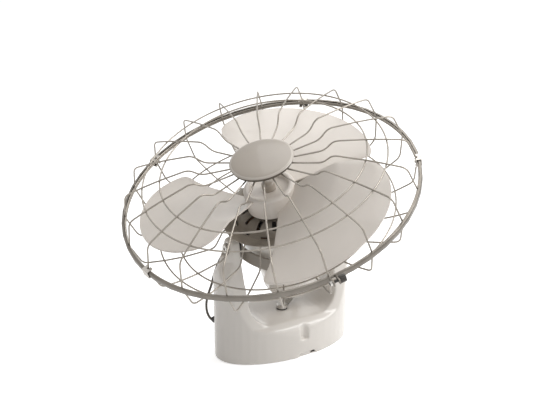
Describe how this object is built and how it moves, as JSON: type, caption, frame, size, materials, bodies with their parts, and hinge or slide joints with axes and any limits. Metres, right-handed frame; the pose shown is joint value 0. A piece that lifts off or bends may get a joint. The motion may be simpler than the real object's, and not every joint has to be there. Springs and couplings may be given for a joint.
{
  "type": "orbital ceiling fan",
  "caption": "Caged fan head in a two-axis gimbal between the arms of a moulded ceiling yoke, with an orbit crank.",
  "frame": {"origin": "centre of the yoke's flat mounting face, the face that is screwed to the ceiling", "axes": "+Z out of the mounting face towards the fan head, +X from the left arm to the right arm"},
  "size_m": [0.4488, 0.4757, 0.4068],
  "materials": {
    "white_moulding": "satin",
    "blade_moulding": "satin",
    "black_plastic": "matt",
    "cap_moulding": "satin",
    "guard_wire": "polished",
    "dark_paint": "satin",
    "zinc_steel": "satin",
    "lamination": "matt",
    "copper_winding": "satin",
    "cord_sheath": "matt"
  },
  "bodies": {
    "yoke": {"yoke_shell": "white_moulding", "mounting_plate": "zinc_steel", "mounting_screw_front": "zinc_steel", "mounting_screw_back": "zinc_steel", "arm_bush_left": "black_plastic", "arm_bush_right": "black_plastic", "orbit_drive": "zinc_steel", "saddle_bush": "black_plastic", "terminal_block": "black_plastic", "run_capacitor": "white_moulding", "yoke_gland": "black_plastic", "motor_lead_lower": "cord_sheath"},
    "crank": {"orbit_crank": "zinc_steel"},
    "gimbal": {"gimbal_ring": "dark_paint", "arm_pivot_left": "zinc_steel", "arm_pivot_right": "zinc_steel", "lead_sleeve": "black_plastic", "motor_lead_upper": "cord_sheath"},
    "fan_head": {"motor_case": "white_moulding", "motor_rear_bowl": "white_moulding", "motor_front_cover": "dark_paint", "tail_ball_pin": "zinc_steel", "tail_nut": "zinc_steel", "head_pivot_front": "zinc_steel", "head_pivot_back": "zinc_steel", "stator_core": "lamination", "coil_front": "copper_winding", "coil_back": "copper_winding", "bearing_front": "zinc_steel", "bearing_rear": "zinc_steel", "front_guard": "guard_wire", "rear_guard": "guard_wire", "guard_cap": "cap_moulding", "cap_screw": "zinc_steel", "guard_ring": "guard_wire", "guard_clip_1": "zinc_steel", "guard_clip_2": "zinc_steel", "guard_clip_3": "zinc_steel", "guard_clip_4": "zinc_steel", "clamp_nut": "zinc_steel", "head_gland": "black_plastic"},
    "rotor": {"motor_shaft": "zinc_steel", "rotor_core": "lamination", "blade_wheel": "blade_moulding", "spinner_nut": "cap_moulding", "drive_pin": "zinc_steel"},
    "clamp": {"clamp_knob": "black_plastic"}
  },
  "joints": [
    {"name": "ring_tilt", "type": "hinge", "parent": "yoke", "child": "gimbal", "pos_m": [0, 0, 0.19], "axis": [1, 0, 0], "range_deg": [-34.3, 11.3], "deforming": ["motor_lead_lower", "motor_lead_upper"]},
    {"name": "head_tilt", "type": "hinge", "parent": "gimbal", "child": "fan_head", "pos_m": [0, 0, 0.19], "axis": [0, 0.9799, 0.1994], "range_deg": [-2.9, 42.7], "deforming": ["motor_lead_upper"]},
    {"name": "blade_spin", "type": "hinge", "parent": "fan_head", "child": "rotor", "pos_m": [0, 0, 0.19], "axis": [-0.3404, -0.1875, 0.9214], "continuous": true},
    {"name": "crank_spin", "type": "hinge", "parent": "yoke", "child": "crank", "pos_m": [0, 0, 0.065], "axis": [0, 0, 1], "continuous": true},
    {"name": "clamp_turn", "type": "hinge", "parent": "fan_head", "child": "clamp", "pos_m": [-0.06374, -0.25318, 0.22423], "axis": [0.9325, -0.1935, 0.3051], "continuous": true}
  ]
}
